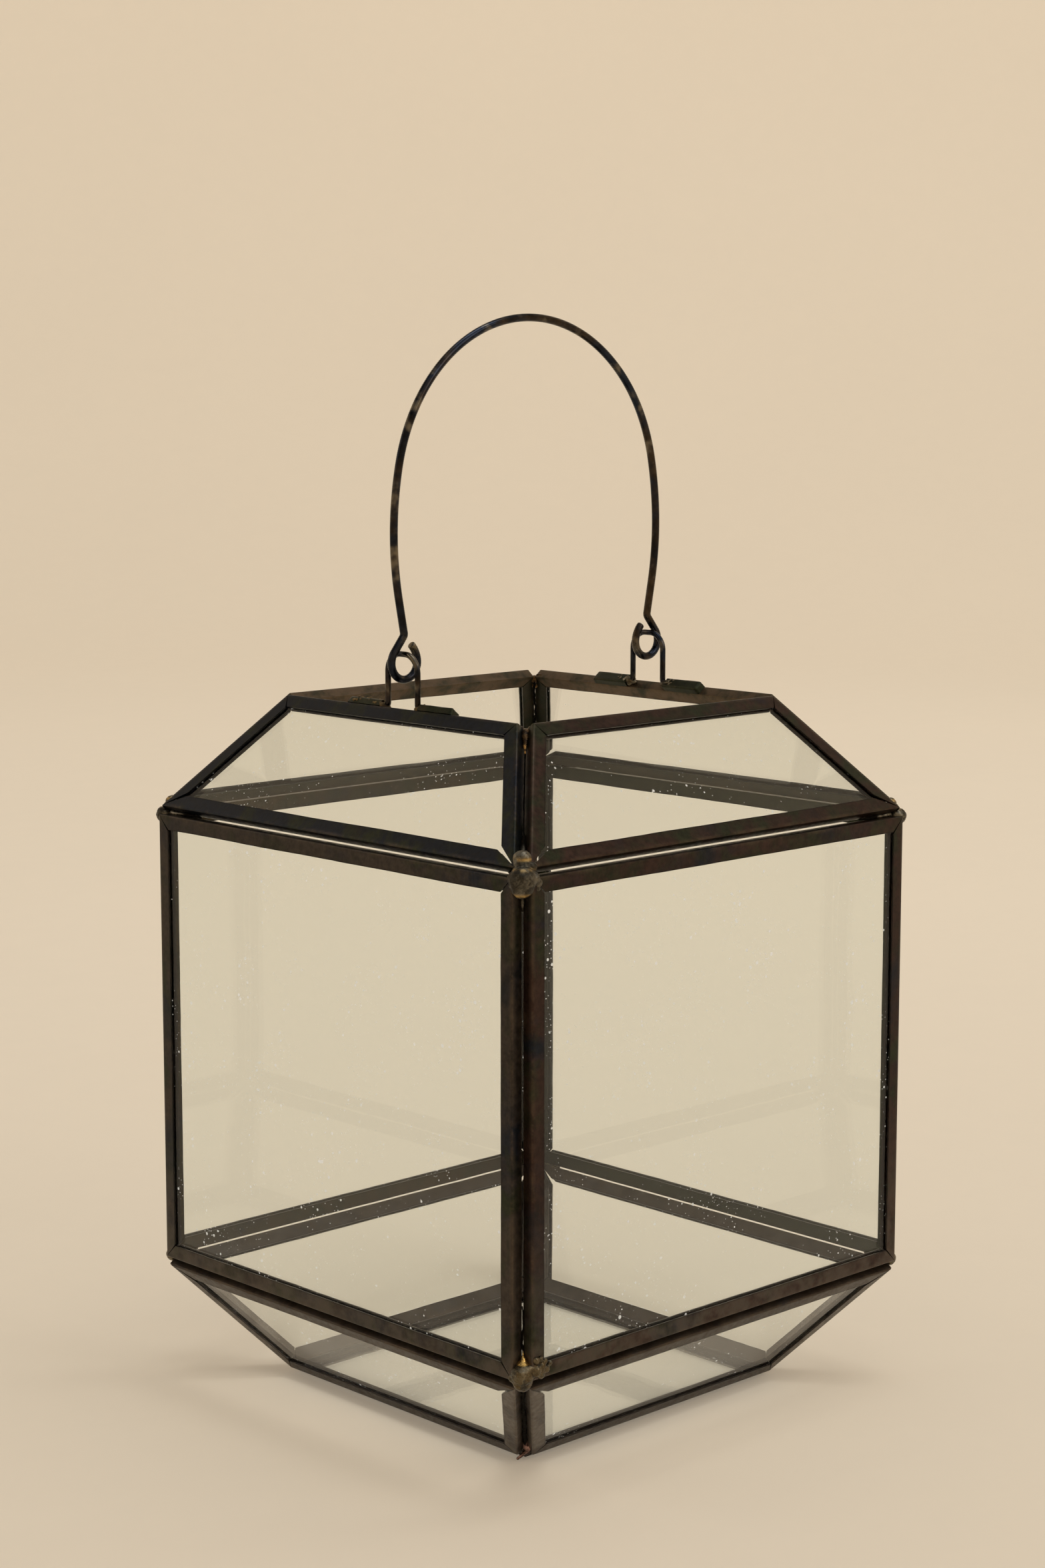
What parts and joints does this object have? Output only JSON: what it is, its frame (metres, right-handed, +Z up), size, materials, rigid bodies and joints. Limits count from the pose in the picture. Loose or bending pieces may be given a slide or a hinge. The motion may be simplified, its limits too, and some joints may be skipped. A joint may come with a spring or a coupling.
{
  "type": "candle lantern",
  "caption": "Open-topped square glass lantern with sloped shoulders and foot, dark soldered channel frames and a swinging wire bail handle.",
  "frame": {"origin": "middle of the square foot, on the surface that the lantern stands on", "axes": "+Z up along the lantern's height; X along the span of the bail handle; -Y the front"},
  "size_m": [0.1628, 0.1628, 0.3194],
  "materials": {
    "patinated_channel": "dark antiqued patina, satin, brown with blue and olive patches",
    "pane_glass": "clear sheet glass with a faint green tint",
    "solder": "blackened solder with brass-coloured glints",
    "blackened_wire": "oil-blackened steel wire with heat tints"
  },
  "bodies": {
    "body": {"top_front_frame": "patinated_channel", "top_right_frame": "patinated_channel", "top_back_frame": "patinated_channel", "top_left_frame": "patinated_channel", "side_front_frame": "patinated_channel", "side_right_frame": "patinated_channel", "side_back_frame": "patinated_channel", "side_left_frame": "patinated_channel", "bottom_front_frame": "patinated_channel", "bottom_right_frame": "patinated_channel", "bottom_back_frame": "patinated_channel", "bottom_left_frame": "patinated_channel", "base_frame": "patinated_channel", "top_front_glass": "pane_glass", "top_right_glass": "pane_glass", "top_back_glass": "pane_glass", "top_left_glass": "pane_glass", "side_front_glass": "pane_glass", "side_right_glass": "pane_glass", "side_back_glass": "pane_glass", "side_left_glass": "pane_glass", "bottom_front_glass": "pane_glass", "bottom_right_glass": "pane_glass", "bottom_back_glass": "pane_glass", "bottom_left_glass": "pane_glass", "base_glass": "pane_glass", "rim_corner_solder": "solder", "upper_shoulder_solder": "solder", "lower_shoulder_solder": "solder", "base_corner_solder": "solder", "left_staple_solder": "solder", "right_staple_solder": "solder", "left_staple": "blackened_wire", "right_staple": "blackened_wire", "left_staple_clips": "patinated_channel", "right_staple_clips": "patinated_channel"},
    "bail": {"handle": "blackened_wire"}
  },
  "joints": [
    {"name": "handle_swing", "type": "hinge", "parent": "body", "child": "bail", "pos_m": [0, 0, 0.218], "axis": [1, 0, 0], "range_deg": [-98, 98]}
  ]
}
